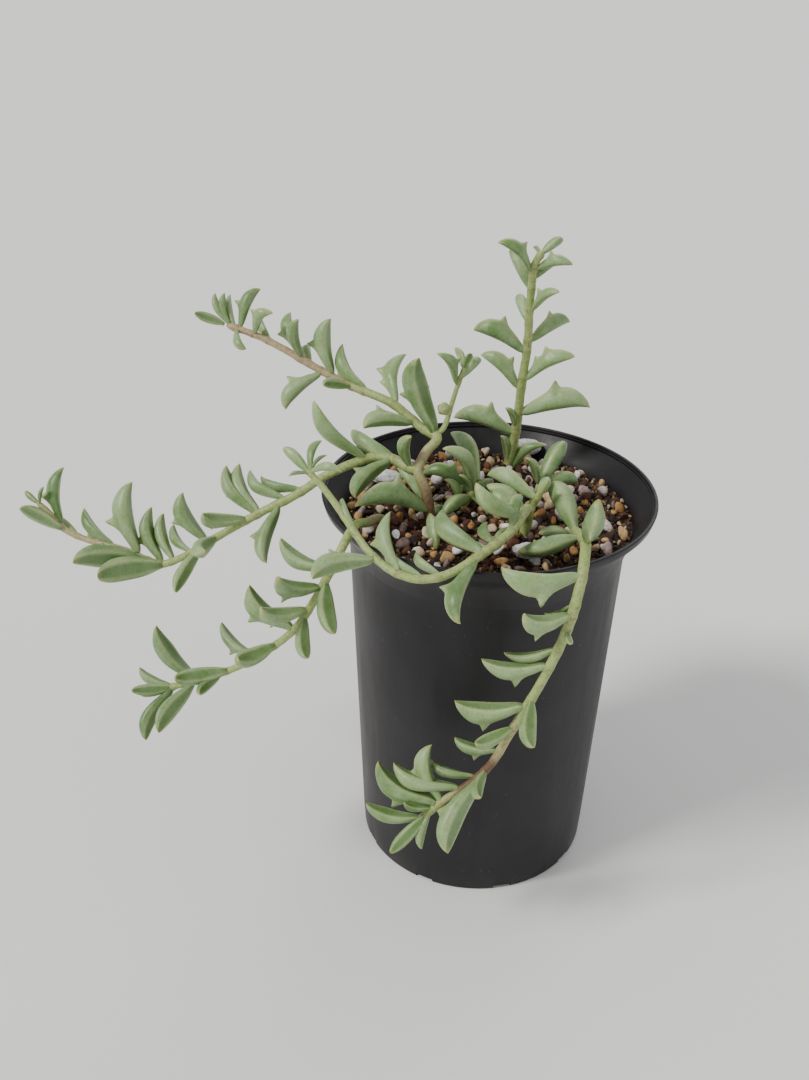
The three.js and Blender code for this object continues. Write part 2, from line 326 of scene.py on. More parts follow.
def potMaterial(settings):
    material, tree, shader = newMaterial("blackNurseryPlastic")
    where = objectCoordinates(tree)
    cloud = noiseValue(tree, where, 26.0, 4.0)
    streakPlace = addNode(tree, "ShaderNodeMapping", {"Vector": where, "Scale": (1.0, 1.0, 0.12)}).outputs[0]
    streak = noiseValue(tree, streakPlace, 160.0, 5.0, 0.7)
    specks = addNode(tree, "ShaderNodeTexVoronoi", {"Vector": where, "Scale": 260.0}).outputs["Distance"]
    speckMask = ramp(tree, specks, [(0.0, grey(1)), (0.07, grey(0.5)), (0.11, grey(0))])
    patches = ramp(tree, noiseValue(tree, where, 70.0, 3.0), [(0.5, grey(0)), (0.68, grey(1))])
    speckShare = calculate(tree, "MULTIPLY", speckMask, patches)
    haze = ramp(tree, calculate(tree, "MULTIPLY", cloud, streak), [(0.2, grey(0)), (0.5, grey(0.07))])
    base = (*settings["colour"], 1)
    # painted sheen: a cloudy mauve tint over the black stands in for the plastic's mauve-grey sheen
    baseWithPaintedSheen = mixColour(tree, cloud, base, (0.0115, 0.0095, 0.012, 1))
    hazed = mixColour(tree, haze, baseWithPaintedSheen, (*settings["dust"], 1))
    dusty = mixColour(tree, calculate(tree, "MULTIPLY", speckShare, 0.55), hazed, (*settings["dust"], 1))
    tree.links.new(dusty, shader.inputs["Base Color"])
    rough = ramp(tree, streak, [(0.3, grey(0.38)), (0.7, grey(0.52))])
    tree.links.new(rough, shader.inputs["Roughness"])
    shader.inputs["Specular IOR Level"].default_value = 0.32
    fine = noiseValue(tree, where, 900.0, 2.0)
    skin = bump(tree, fine, 0.10, 0.0002)
    ripple = noiseValue(tree, where, 38.0, 2.0)
    tree.links.new(bump(tree, ripple, 0.25, 0.0012, skin), shader.inputs["Normal"])
    return material


def turnedMesh(name, outline, turns):
    # outline is [radius, height] from the axis round and back to the axis
    points, faces = [], []
    for radius, height in outline:
        for i in range(turns):
            angle = 2 * math.pi * i / turns
            points.append((radius * math.cos(angle), radius * math.sin(angle), height))
    for row in range(len(outline) - 1):
        for i in range(turns):
            a, b = row * turns + i, row * turns + (i + 1) % turns
            faces.append((a, b, b + turns, a + turns))
    mesh = meshFrom(name, points, faces)
    cleanMesh(mesh)
    return mesh


def potOutline():
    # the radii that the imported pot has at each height, outside and inside
    points = nodePoints("pot")
    radii = np.hypot(points[:, 0], points[:, 1])
    heights = np.round(points[:, 2], 5)
    top = heights.max()
    upper = sorted(set(heights[heights > 0.8 * top]))
    outer = [(radii[heights == z].max(), z) for z in upper]
    inner = [(radii[heights == z].min(), z) for z in upper]
    low = heights < 0.06 * top
    footRadius = radii[low].max()
    return outer, inner, footRadius, top


def roundedCorner(before, corner, after, radius, count=4):
    before, corner, after = (np.array(p, float) for p in (before, corner, after))
    toBefore = (before - corner) / np.linalg.norm(before - corner)
    toAfter = (after - corner) / np.linalg.norm(after - corner)
    start, end = corner + radius * toBefore, corner + radius * toAfter
    points = []
    for t in np.linspace(0, 1, count):
        points.append(tuple((1 - t) ** 2 * start + 2 * t * (1 - t) * corner + t ** 2 * end))
    return points


def softProfile(points, step=1.2 * mm):
    # the flare as a smooth curve instead of its few corners
    flat = np.array([(r, 0, z) for r, z in points])
    return [(p[0], p[2]) for p in smoothPath(flat, step)]


def boxMesh(low, high, turn=0.0):
    corners = [(x, y, z) for x in (low[0], high[0]) for y in (low[1], high[1]) for z in (low[2], high[2])]
    cosine, sine = math.cos(turn), math.sin(turn)
    points = [(x * cosine - y * sine, x * sine + y * cosine, z) for x, y, z in corners]
    faces = [(0, 1, 3, 2), (4, 6, 7, 5), (0, 4, 5, 1), (2, 3, 7, 6), (0, 2, 6, 4), (1, 5, 7, 3)]
    return points, faces


def potCutters(holes, notches):
    # drain holes through the raised channel and notches through the foot ring
    points, faces = [], []
    for x, y, radius in holes:
        start = len(points)
        for z in (1.0 * mm, 8.0 * mm):
            for k in range(32):
                angle = 2 * math.pi * k / 32
                points.append((x + radius * math.cos(angle), y + radius * math.sin(angle), z))
        faces += [(start + k, start + (k + 1) % 32, start + 32 + (k + 1) % 32, start + 32 + k) for k in range(32)]
        faces.append(tuple(start + k for k in reversed(range(32))))
        faces.append(tuple(start + 32 + k for k in range(32)))
    for low, high, turn in notches:
        start = len(points)
        morePoints, moreFaces = boxMesh(low, high, turn)
        points += morePoints
        faces += [tuple(start + k for k in face) for face in moreFaces]
    cutters = addObject("potCutters", meshFrom("potCutters", points, faces, smooth=False))
    cleanMesh(cutters.data)
    return cutters


def drainHoles():
    # each drain hole is one of the record's openings
    holes = []
    for opening in frame["record"]["physics"]["openings"]:
        if opening["name"].startswith("drain_hole"):
            low, high = opening["box_m"]
            holes.append(((low[0] + high[0]) / 2, (low[1] + high[1]) / 2, 4.6 * mm))
    return holes


def makePot(settings):
    outer, inner, footRadius, top = potOutline()
    middle, channelInner, channelOuter, rise = (settings[key] * mm for key in (
        "middleRadius", "channelInner", "channelOuter", "channelRise"))
    lip = settings["lipRadius"] * mm
    floorTop = rise + 1.6 * mm
    footInner, footOuter = channelOuter + 1 * mm, footRadius - 0.6 * mm
    outline = [(0, 0), (middle, 0), (channelInner, rise), (channelOuter, rise), (footInner, 0)]
    outline += roundedCorner((footInner, 0), (footOuter, 0), (footRadius, 8 * mm), 1.0 * mm)
    wallFoot = np.linspace((footRadius, 9 * mm), outer[0], 24)
    outline += [tuple(p) for p in wallFoot[:-1]]
    outline += softProfile(outer[:-1])[:-1]
    outline += roundedCorner(outer[-2], outer[-1], inner[-1], lip)
    outline += roundedCorner(outer[-1], inner[-1], inner[-2], lip)
    # a fine bead runs round just inside the lip
    for inward, up in ((0.0, 1.15), (0.32, 0.95), (0.38, 0.7), (0.32, 0.45), (0.0, 0.25)):
        outline.append((inner[-2][0] - inward * mm, inner[-2][1] + up * mm))
    outline += list(reversed(softProfile(inner[:-1])))
    outline += [(footRadius - 1.4 * mm, floorTop), (channelOuter, floorTop), (0, floorTop)]
    pot = addObject("nurseryPot", turnedMesh("nurseryPot", outline, settings["turns"]))
    notches = []
    for k in range(9):
        turn = math.radians(247.5 + 40 * k)
        low = (channelOuter - 0.5 * mm, -3.5 * mm, -2 * mm)
        notches.append((low, (footRadius + 4 * mm, 3.5 * mm, 1.6 * mm), turn))
    cutters = potCutters(drainHoles(), notches)
    cut = pot.modifiers.new("cut", "BOOLEAN")
    cut.operation = "DIFFERENCE"
    cut.solver = "EXACT"
    cut.object = cutters
    graph = bpy.context.evaluated_depsgraph_get()
    pot.data = bpy.data.meshes.new_from_object(pot.evaluated_get(graph), depsgraph=graph)
    pot.modifiers.clear()
    bpy.data.objects.remove(cutters)
    pot.data.name = "nurseryPot"
    pot.data.materials.clear()
    pot.data.materials.append(potMaterial(settings))
    pot.data.set_sharp_from_angle(angle=math.radians(38))
    finishPiece(pot, "pot", "pot")
    return inner


innerWall = makePot(potSettings)
print("pot made")


# growing mix and grit

mixSettings = {"rings": 70, "turns": 150, "roughness": 0.9, "lumps": 1.3}


def wallRadiusAt(height):
    return float(np.interp(height, [z for r, z in innerWall], [r for r, z in innerWall]))


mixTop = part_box("growing_mix")[1]


def mixHeight(x, y):
    # the surface of the mix: a slight mound with hollows between the grains
    reach = math.hypot(x, y) / mixTop.x
    mound = mixTop.z - 1.5 * mm * reach ** 2
    spot = Vector((x, y, 0))
    lumps = 0.7 * noise.noise(spot * 90) + 0.45 * noise.noise(spot * 260) + 0.25 * noise.noise(spot * 640)
    return mound - 0.6 * mm + mixSettings["lumps"] * mm * lumps


def gritMaterial(name, colours, roughness=0.9, grainScale=700.0, bumpDepth=0.25):
    # colours are the stops of a ramp from one grain to the next; each grain is then mottled
    material, tree, shader = newMaterial(name)
    where = objectCoordinates(tree)
    tint = attribute(tree, "stoneTint")
    base = ramp(tree, tint, colours)
    mottle = noiseValue(tree, where, grainScale, 4.0, 0.65)
    shade = ramp(tree, mottle, [(0.3, grey(0.45)), (0.62, grey(1.0))])
    coloured = mixColour(tree, 1.0, base, shade, "MULTIPLY")
    tree.links.new(coloured, shader.inputs["Base Color"])
    shader.inputs["Roughness"].default_value = roughness
    pores = noiseValue(tree, where, grainScale * 1.6, 5.0, 0.7)
    tree.links.new(bump(tree, pores, 0.6, bumpDepth * mm), shader.inputs["Normal"])
    return material


def makeMix(settings):
    rim = wallRadiusAt(142 * mm) - 0.15 * mm
    rings, turns = settings["rings"], settings["turns"]
    points, faces = [(0, 0, mixHeight(0, 0))], []
    for ring in range(1, rings + 1):
        radius = rim * ring / rings
        for i in range(turns):
            angle = 2 * math.pi * (i + 0.5 * (ring % 2)) / turns
            x, y = radius * math.cos(angle), radius * math.sin(angle)
            points.append((x, y, mixHeight(x, y)))
    faces += [(0, 1 + i, 1 + (i + 1) % turns) for i in range(turns)]
    for ring in range(rings - 1):
        for i in range(turns):
            a, b = 1 + ring * turns + i, 1 + ring * turns + (i + 1) % turns
            faces.append((a, a + turns, b + turns, b))
    side = [(wallRadiusAt(132 * mm) - 0.3 * mm, 132 * mm), (0.0432, 6.0 * mm)]
    for radius, height in side:
        for i in range(turns):
            angle = 2 * math.pi * (i + 0.5 * (rings % 2)) / turns
            points.append((radius * math.cos(angle), radius * math.sin(angle), height))
    for ring in range(rings - 1, rings + 1):
        for i in range(turns):
            a, b = 1 + ring * turns + i, 1 + ring * turns + (i + 1) % turns
            faces.append((a, a + turns, b + turns, b))
    faces.append(tuple(1 + (rings + 1) * turns + i for i in reversed(range(turns))))
    mix = addObject("growingMix", meshFrom("growingMix", points, faces))
    cleanMesh(mix.data)
    dark = [(0.0, (0.022, 0.012, 0.008)), (0.5, (0.05, 0.028, 0.018)), (1.0, (0.10, 0.06, 0.035))]
    material, tree, shader = newMaterial("dampPeat")
    where = objectCoordinates(tree)
    tree.links.new(ramp(tree, noiseValue(tree, where, 520.0, 6.0, 0.7), dark), shader.inputs["Base Color"])
    shader.inputs["Roughness"].default_value = settings["roughness"]
    grain = noiseValue(tree, where, 900.0, 5.0, 0.7)
    tree.links.new(bump(tree, grain, 0.8, 0.0005), shader.inputs["Normal"])
    mix.data.materials.append(material)
    finishPiece(mix, "mix", "growing_mix")


makeMix(mixSettings)
print("mix made")


def stoneShapes(name, count, corners, levels, seed, flat=0.75):
    # broken stones: the hull of a few points, softened when levels is more than 0
    group = bpy.data.collections.new(name)
    pick = np.random.default_rng(seed)
    for k in range(count):
        work = bmesh.new()
        for _ in range(corners):
            direction = Vector(pick.normal(size=3)).normalized()
            reach = 0.5 * pick.uniform(0.82, 1.0)
            work.verts.new((direction.x * reach, direction.y * reach * 0.8, direction.z * reach * flat))
        hull = bmesh.ops.convex_hull(work, input=work.verts)
        bmesh.ops.delete(work, geom=[v for v in work.verts if not v.link_faces], context="VERTS")
        bmesh.ops.recalc_face_normals(work, faces=work.faces)
        mesh = bpy.data.meshes.new(f"{name}{k}")
        work.to_mesh(mesh)
        work.free()
        stone = bpy.data.objects.new(f"{name}{k}", mesh)
        group.objects.link(stone)
        if levels:
            soften = stone.modifiers.new("soften", "SUBSURF")
            soften.levels = soften.render_levels = levels
        mesh.polygons.foreach_set("use_smooth", [levels > 0] * len(mesh.polygons))
    return group


def buildGritTree():
    tree, start, end = newTree("gritScatter", [
        ("Shapes", "NodeSocketCollection", None),
        ("Grains per square metre", "NodeSocketFloat", 60000.0),
        ("Closest", "NodeSocketFloat", 0.001),
        ("Smallest", "NodeSocketFloat", 0.001),
        ("Largest", "NodeSocketFloat", 0.002),
        ("Seed", "NodeSocketInt", 1),
        ("Finish", "NodeSocketMaterial", None),
    ])
    scatter = addNode(tree, "GeometryNodeDistributePointsOnFaces", {
        "Mesh": start.outputs["Geometry"],
        "Distance Min": start.outputs["Closest"],
        "Density Max": start.outputs["Grains per square metre"],
        "Seed": start.outputs["Seed"],
    }, distribute_method="POISSON")
    shapes = addNode(tree, "GeometryNodeCollectionInfo", {
        "Collection": start.outputs["Shapes"], "Separate Children": True, "Reset Children": True})
    turn = addNode(tree, "FunctionNodeRandomValue", {
        "Min": (0.0, 0.0, 0.0), "Max": (6.283, 6.283, 6.283), "Seed": start.outputs["Seed"]},
        data_type="FLOAT_VECTOR")
    size = addNode(tree, "FunctionNodeRandomValue", {
        2: start.outputs["Smallest"], 3: start.outputs["Largest"], "Seed": start.outputs["Seed"]},
        data_type="FLOAT")
    place = addNode(tree, "GeometryNodeInstanceOnPoints", {
        "Points": scatter.outputs["Points"],
        "Instance": shapes.outputs[0],
        "Pick Instance": True,
        "Rotation": turn.outputs[0],
        "Scale": size.outputs[1],
    })
    tint = addNode(tree, "FunctionNodeRandomValue", {"Seed": 7}, data_type="FLOAT")
    marked = addNode(tree, "GeometryNodeStoreNamedAttribute", {
        "Geometry": place.outputs["Instances"], "Name": "stoneTint", "Value": tint.outputs[1]},
        data_type="FLOAT", domain="INSTANCE")
    real = addNode(tree, "GeometryNodeRealizeInstances", {"Geometry": marked.outputs["Geometry"]})
    done = addNode(tree, "GeometryNodeSetMaterial", {
        "Geometry": real.outputs["Geometry"], "Material": start.outputs["Finish"]})
    tree.links.new(done.outputs["Geometry"], end.inputs["Geometry"])
    return tree


gritSettings = {
    # name: shapes, grains per square metre, closest, smallest and largest in mm, lift, seed, slot, colour stops
    "darkFines": ("fine", 240000, 1.1, 1.3, 3.2, 0.12, 3, "mix",
                  [(0.0, (0.012, 0.008, 0.006)), (0.6, (0.05, 0.024, 0.015)), (1.0, (0.13, 0.065, 0.035))]),
    "tanFines": ("fine", 110000, 1.6, 1.3, 3.0, 0.25, 5, "mix",
                 [(0.0, (0.22, 0.12, 0.055)), (0.5, (0.42, 0.27, 0.13)), (1.0, (0.60, 0.47, 0.31))]),
    "lavaGravel": ("middle", 90000, 3.3, 4.2, 8.6, 0.10, 8, "mix",
                   [(0.0, (0.014, 0.009, 0.008)), (0.35, (0.05, 0.022, 0.015)), (0.7, (0.13, 0.045, 0.025)),
                    (1.0, (0.20, 0.085, 0.045))]),
    "clayGravel": ("middle", 30000, 4.8, 4.6, 9.6, 0.22, 11, "mix",
                   [(0.0, (0.50, 0.22, 0.06)), (0.35, (0.58, 0.34, 0.13)), (0.7, (0.62, 0.46, 0.27)),
                    (1.0, (0.68, 0.57, 0.43))]),
    "greyGravel": ("middle", 7000, 7.0, 5.4, 10.0, 0.22, 14, "mix",
                   [(0.0, (0.13, 0.075, 0.06)), (0.5, (0.34, 0.24, 0.23)), (1.0, (0.52, 0.42, 0.40))]),
    "pumiceGravel": ("middle", 9000, 7.6, 4.8, 10.0, 0.25, 17, "pumice",
                     [(0.0, (0.70, 0.60, 0.52)), (0.4, (0.80, 0.75, 0.70)), (1.0, (0.90, 0.88, 0.89))]),
}


def makeGrit(settings):
    shapes = {
        "fine": stoneShapes("fineGrain", 6, 11, 0, 21),
        "middle": stoneShapes("middleGrain", 9, 11, 1, 22),
    }
    tree = buildGritTree()
    reach = wallRadiusAt(142 * mm) + 0.2 * mm
    for name, (kind, density, closest, smallest, largest, lift, seed, slot, colours) in settings.items():
        rings, turns = 24, 60
        points, faces = [(0, 0, mixHeight(0, 0))], []
        for ring in range(1, rings + 1):
            radius = (reach - 0.36 * largest * mm) * ring / rings
            for i in range(turns):
                angle = 2 * math.pi * i / turns
                x, y = radius * math.cos(angle), radius * math.sin(angle)
                points.append((x, y, mixHeight(x, y) + lift * largest * mm))
        faces += [(0, 1 + i, 1 + (i + 1) % turns) for i in range(turns)]
        for ring in range(rings - 1):
            for i in range(turns):
                a, b = 1 + ring * turns + i, 1 + ring * turns + (i + 1) % turns
                faces.append((a, a + turns, b + turns, b))
        piece = addObject(name, meshFrom(name, points, faces))
        material = gritMaterial(name + "Stone", colours)
        runTree(piece, tree, {
            "Shapes": shapes[kind],
            "Grains per square metre": float(density),
            "Closest": closest * mm,
            "Smallest": smallest * mm,
            "Largest": largest * mm,
            "Seed": seed,
            "Finish": material,
        })
        finishPiece(piece, slot)
        print(name, len(piece.data.polygons), "faces")
    for group in shapes.values():
        for stone in list(group.objects):
            bpy.data.objects.remove(stone)


makeGrit(gritSettings)
print("grit scattered")

# stems

stemSettings = {
    # radii in mm at the root and behind the tip, how woody it is by its share of the length,
    # mm of brown bark at the root, and a brown stretch in mm
    "trunk_and_upper_left_stem": {"girth": (2.1, 1.15), "bark": 22,
                                  "wood": [(0, 0.9), (0.24, 0.55), (0.34, 0.15), (0.55, 0.2), (0.68, 0.95), (1, 0.8)]},
    "upright_stem": {"girth": (2.05, 1.3), "wood": [(0, 0.3), (0.2, 0.0), (1, 0.0)]},
    "long_left_stem": {"girth": (1.85, 1.1), "wood": [(0, 0.1), (0.6, 0.1), (0.85, 0.7), (1, 0.5)]},
    "lower_left_stem": {"girth": (1.8, 1.1), "wood": [(0, 0.6), (0.3, 0.1), (1, 0.2)]},
    "front_stem": {"girth": (2.0, 1.3), "wood": [(0, 0.1), (0.6, 0.1), (0.75, 0.6), (1, 0.2)],
                   "brown": (128, 152)},
    "rim_stem": {"girth": (1.9, 1.1), "wood": [(0, 0.2), (0.3, 0.05), (1, 0.1)]},
    "rim_side_shoot": {"girth": (1.3, 0.9), "wood": [(0, 0), (1, 0)]},
    "budding_shoot": {"girth": (1.05, 0.75), "wood": [(0, 0.2), (1, 0)]},
    "back_shoot": {"girth": (1.4, 0.9), "wood": [(0, 0.3), (1, 0.1)]},
    "middle_shoot": {"girth": (1.4, 0.9), "wood": [(0, 0.3), (1, 0)]},
}
parentStem = {
    "long_left_stem": "trunk_and_upper_left_stem",
    "budding_shoot": "trunk_and_upper_left_stem",
    "rim_side_shoot": "rim_stem",
}
stemSides = 8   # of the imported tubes
rootHeight = 136 * mm


def stemCentres(node):
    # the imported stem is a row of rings, so its middle line is found by walking from one end ring
    work = bmesh.new()
    work.from_mesh(frame["nodes"][node].data)
    bmesh.ops.remove_doubles(work, verts=work.verts, dist=0.002 * mm)
    endPoints = [v for v in work.verts if len(v.link_edges) == 4]
    first = endPoints[0].co
    oneEnd = sorted(endPoints, key=lambda v: (v.co - first).length)[:4]
    middle = sum((v.co for v in oneEnd), Vector()) / 4
    ring = set(sorted(work.verts, key=lambda v: (v.co - middle).length)[:stemSides])
    done, centres = set(), []
    while ring:
        centres.append(np.mean([v.co for v in ring], axis=0))
        done |= ring
        ring = {edge.other_vert(v) for v in ring for edge in v.link_edges} - done
    work.free()
    return np.array(centres)


def findStemPaths():
    paths = {}
    for name in stemSettings:
        centres = stemCentres(name)
        if name in parentStem:
            parent = paths[parentStem[name]]
            reach = [np.linalg.norm(parent - end, axis=1).min() for end in (centres[0], centres[-1])]
            centres = centres if reach[0] < reach[1] else centres[::-1]
            joint = parent[np.linalg.norm(parent - centres[0], axis=1).argmin()]
            centres = np.vstack([joint, centres])
        elif abs(centres[0][2] - rootHeight) > abs(centres[-1][2] - rootHeight):
            centres = centres[::-1]
        paths[name] = smoothPath(centres, 1.0 * mm)
    return paths


stemPaths = findStemPaths()


def buildStemTree():
    tree, start, end = newTree("stemSkin", [
        ("Sides", "NodeSocketInt", 14),
        ("Lumps", "NodeSocketFloat", 0.0001),
        ("Finish", "NodeSocketMaterial", None),
    ])
    line = addNode(tree, "GeometryNodeMeshToCurve", {"Mesh": start.outputs["Geometry"]})
    thick = addNode(tree, "GeometryNodeSetCurveRadius", {
        "Curve": line.outputs["Curve"], "Radius": named(tree, "girth", "FLOAT")})
    ring = addNode(tree, "GeometryNodeCurvePrimitiveCircle", {
        "Resolution": start.outputs["Sides"], "Radius": 1.0}, mode="RADIUS")
    skin = addNode(tree, "GeometryNodeCurveToMesh", {
        "Curve": thick.outputs["Curve"], "Profile Curve": ring.outputs["Curve"], "Fill Caps": True})
    if "Scale" in skin.inputs:
        tree.links.new(named(tree, "girth", "FLOAT"), skin.inputs["Scale"])
    grain = addNode(tree, "ShaderNodeTexNoise", {"Scale": 420.0, "Detail": 3.0})
    centred = addNode(tree, "ShaderNodeMath", {0: grain.outputs["Fac"], 1: 0.5}, operation="SUBTRACT")
    reach = addNode(tree, "ShaderNodeMath", {
        0: centred.outputs[0], 1: start.outputs["Lumps"]}, operation="MULTIPLY")
    facing = addNode(tree, "GeometryNodeInputNormal")
    offset = addNode(tree, "ShaderNodeVectorMath", {
        0: facing.outputs["Normal"], "Scale": reach.outputs[0]}, operation="SCALE")
    moved = addNode(tree, "GeometryNodeSetPosition", {
        "Geometry": skin.outputs["Mesh"], "Offset": offset.outputs[0]})
    smooth = addNode(tree, "GeometryNodeSetShadeSmooth", {
        "Geometry": moved.outputs["Geometry"], "Shade Smooth": True})
    real = addNode(tree, "GeometryNodeRealizeInstances", {"Geometry": smooth.outputs["Geometry"]})
    done = addNode(tree, "GeometryNodeSetMaterial", {
        "Geometry": real.outputs["Geometry"], "Material": start.outputs["Finish"]})
    tree.links.new(done.outputs["Geometry"], end.inputs["Geometry"])
    return tree


stemColours = {
    "green": (0.25, 0.35, 0.09, 1),
    "pale": (0.42, 0.48, 0.19, 1),
    "straw": (0.42, 0.32, 0.18, 1),
    "brown": (0.17, 0.085, 0.035, 1),
    "bark": (0.10, 0.055, 0.03, 1),
}


def stemMaterial(name, colours):
    material, tree, shader = newMaterial(name)
    where = objectCoordinates(tree)
    patchy = noiseValue(tree, where, 130.0, 4.0)
    fine = noiseValue(tree, where, 900.0, 4.0, 0.7)
    green = mixColour(tree, patchy, colours["green"], colours["pale"])
    edge = calculate(tree, "ADD", attribute(tree, "wood"), calculate(tree, "SUBTRACT", patchy, 0.5))
    woody = mixColour(tree, ramp(tree, edge, [(0.2, grey(0)), (0.75, grey(1))]), green, colours["straw"])
    brown = mixColour(tree, fine, colours["bark"], colours["brown"])
    barked = mixColour(tree, attribute(tree, "bark"), woody, brown)
    scarred = mixColour(tree, calculate(tree, "MULTIPLY", attribute(tree, "scar"), 0.3), barked, colours["brown"])
    fleck = ramp(tree, fine, [(0.36, grey(0.62)), (0.52, grey(1.0))])
    tree.links.new(mixColour(tree, 1.0, scarred, fleck, "MULTIPLY"), shader.inputs["Base Color"])
    shader.inputs["Roughness"].default_value = 0.55
    shader.inputs["Subsurface Weight"].default_value = 0.12
    shader.inputs["Subsurface Radius"].default_value = (1.0, 0.8, 0.4)
    shader.inputs["Subsurface Scale"].default_value = 0.8 * mm
    tree.links.new(bump(tree, fine, 0.5, 0.15 * mm), shader.inputs["Normal"])
    return material


def makeStem(name, tree, material, settings, leafPlaces):
    path = stemPaths[name]
    run = pathLengths(path)
    share = run / run[-1]
    rootGirth, tipGirth = settings["girth"]
    girth = (rootGirth + (tipGirth - rootGirth) * share ** 0.8) * mm
    for place in leafPlaces:
        girth += 0.16 * mm * np.exp(-((run - place) / (1.3 * mm)) ** 2)
    scar = np.zeros(len(path))
    for place in leafPlaces:
        scar = np.maximum(scar, np.exp(-((run - place) / (0.7 * mm)) ** 2))
    fromTip = run[-1] - run
    girth *= np.sqrt(np.clip(fromTip / (1.6 * mm), 0.05, 1.0))
    wood = np.interp(share, *zip(*settings["wood"]))
    bark = np.clip((settings.get("bark", -99) * mm - run) / (12 * mm) + 0.5, 0, 1)
    if "brown" in settings:
        first, last = (value * mm for value in settings["brown"])
        inside = np.clip((run - first) / (5 * mm), 0, 1) * np.clip((last - run) / (5 * mm), 0, 1)
        bark = np.maximum(bark, inside)
    mesh = bpy.data.meshes.new(name)
    mesh.from_pydata([tuple(p) for p in path], [(i, i + 1) for i in range(len(path) - 1)], [])
    for label, values in (("girth", girth), ("wood", wood), ("bark", bark), ("scar", scar)):
        mesh.attributes.new(label, "FLOAT", "POINT").data.foreach_set("value", np.asarray(values, "f"))
    piece = addObject(pieceName(name), mesh)
    runTree(piece, tree, {"Sides": 14, "Lumps": 0.35 * mm, "Finish": material})
    cleanMesh(piece.data)
    slot = "stem_green" if name in ("long_left_stem", "rim_side_shoot", "budding_shoot") else "stem_woody"
    finishPiece(piece, slot, name)


def pieceName(name):
    # an object's name in scene.py is the node's name in camel case
    first, *rest = name.split("_")
    return first + "".join(word.capitalize() for word in rest)


# leaves

moreLeaves = {
    # mm along the stem, the way to the tip in mm, and how many fins
    "trunk_and_upper_left_stem": [
        (12, (4, -16, -5), 0), (15, (-13, 10, 10), 1), (44, (-2, 17, 10), 0), (79, (-8, -10, 5), 0),
        (97, (-1, 13, 2), 0), (100, (-5, 13, 13), 1), (101, (0, -5, 16), 0), (114, (-5, 14, 6), 0),
        (120, (9, -6, 10), 1), (127, (6, -9, -5), 0), (128, (-2, 8, 10), 0), (131, (-6, 5, 11), 0),
        (131, (-2, 3, 12), 0),
    ],
    "upright_stem": [
        (8, (-4, -4, 14), 0), (5, (14, -3, 14), 1), (25, (-5, -5, 10), 0), (68, (-5, 13, 5), 0),
        (73, (10, -9, 10), 1), (81, (-9, 11, 10), 0), (85, (11, 7, 6), 0), (88, (-13, -5, 11), 1),
        (95, (-3, 7, 0), 0), (95, (7, 8, 4), 0),
    ],
    "long_left_stem": [
        (0, (1, -7, 15), 0), (6, (-17, 13, 4), 0), (43, (-16, 8, 2), 0), (50, (-15, 12, 6), 0),
        (53, (0, -17, -14), 1), (61, (-9, 14, 13), 1), (62, (-12, 11, 14), 0), (80, (0, -18, 6), 1),
        (87, (-6, -14, -11), 1), (92, (-8, 13, 4), 0), (100, (-5, 13, 12), 0), (104, (-19, -16, 3), 0),
        (125, (-13, 10, 10), 1), (140, (-9, 11, 1), 0), (160, (-7, 4, 3), 0), (160, (3, -1, 8), 0),
    ],
    "lower_left_stem": [
        (61, (5, -17, -9), 0), (74, (-14, -12, 8), 1), (77, (3, -16, -6), 0), (103, (-13, 10, 7), 1),
        (118, (-4, -13, 1), 0), (129, (-14, 7, 18), 0), (139, (-13, 5, 4), 1), (139, (-9, -5, -2), 0),
        (139, (-7, -14, -14), 0), (140, (-11, -9, 3), 0),
    ],
    "front_stem": [
        (9, (-12, -8, 4), 0), (14, (-8, 18, 10), 0), (25, (-21, -7, -3), 0), (66, (-9, 5, -6), 0),
        (75, (1, -9, 1), 0), (83, (-16, 5, -5), 0), (104, (1, -18, -4), 0), (117, (-12, -12, 3), 0),
        (128, (-16, 5, 1), 1), (137, (-1, -15, 3), 0), (141, (-15, 6, 2), 0), (148, (-23, 4, 7), 0),
        (156, (-4, 8, 18), 1), (160, (-10, -3, 6), 0), (162, (-1, -7, -11), 0), (166, (-19, 2, 4), 0),
    ],
    "rim_stem": [
        (17, (-15, -3, 13), 0), (31, (-10, 10, 4), 1), (44, (3, 12, 7), 1), (52, (4, 12, -1), 0), (53, (-3, 13, 1), 0), (56, (-9, 12, -2), 0),
        (59, (-13, 19, 5), 0), (75, (-8, 9, 3), 0), (81, (-12, 11, 4), 0), (89, (-4, 16, 13), 1),
        (111, (-5, 10, 6), 0), (137, (11, -3, 2), 0), (138, (-9, 6, 5), 0), (138, (-6, -6, 0), 0),
        (138, (3, 10, 7), 0), (138, (6, 3, 5), 0),
    ],
    "rim_side_shoot": [(4, (-17, 10, 2), 0), (4, (4, 11, 3), 0)],
    "budding_shoot": [(19, (6, 10, 3), 1), (24, (-3, 9, 4), 0), (24, (2, -4, 7), 0)],
    "back_shoot": [(22, (-5, -5, 12), 0), (22, (9, 14, 11), 0), (22, (14, 10, -4), 0)],
    "middle_shoot": [
        (13, (-10, -14, -2), 0), (13, (6, -9, -3), 0), (15, (-19, 1, 5), 1), (15, (-5, -6, 8), 0),
        (20, (-12, 22, 8), 0), (7, (-7, -3, 12), 1), (5, (-14, -6, 1), 0), (11, (9, 5, 6), 1),
    ],
}
packedFins = {
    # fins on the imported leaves 1, 2, 3 and so on of each stem
    "trunk_and_upper_left_stem": (1, 1, 1, 2, 1, 1, 1, 1, 0),
    "upright_stem": (1, 1, 1, 2, 1, 1, 1),
    "long_left_stem": (1, 0, 1, 1, 1, 1, 1, 1, 1),
    "lower_left_stem": (0, 1, 1, 1, 1, 0),
    "front_stem": (1, 1, 1, 1, 1, 1, 1, 0),
    "rim_stem": (0, 1, 1),
    "budding_shoot": (1,),
    "middle_shoot": (0,),
}

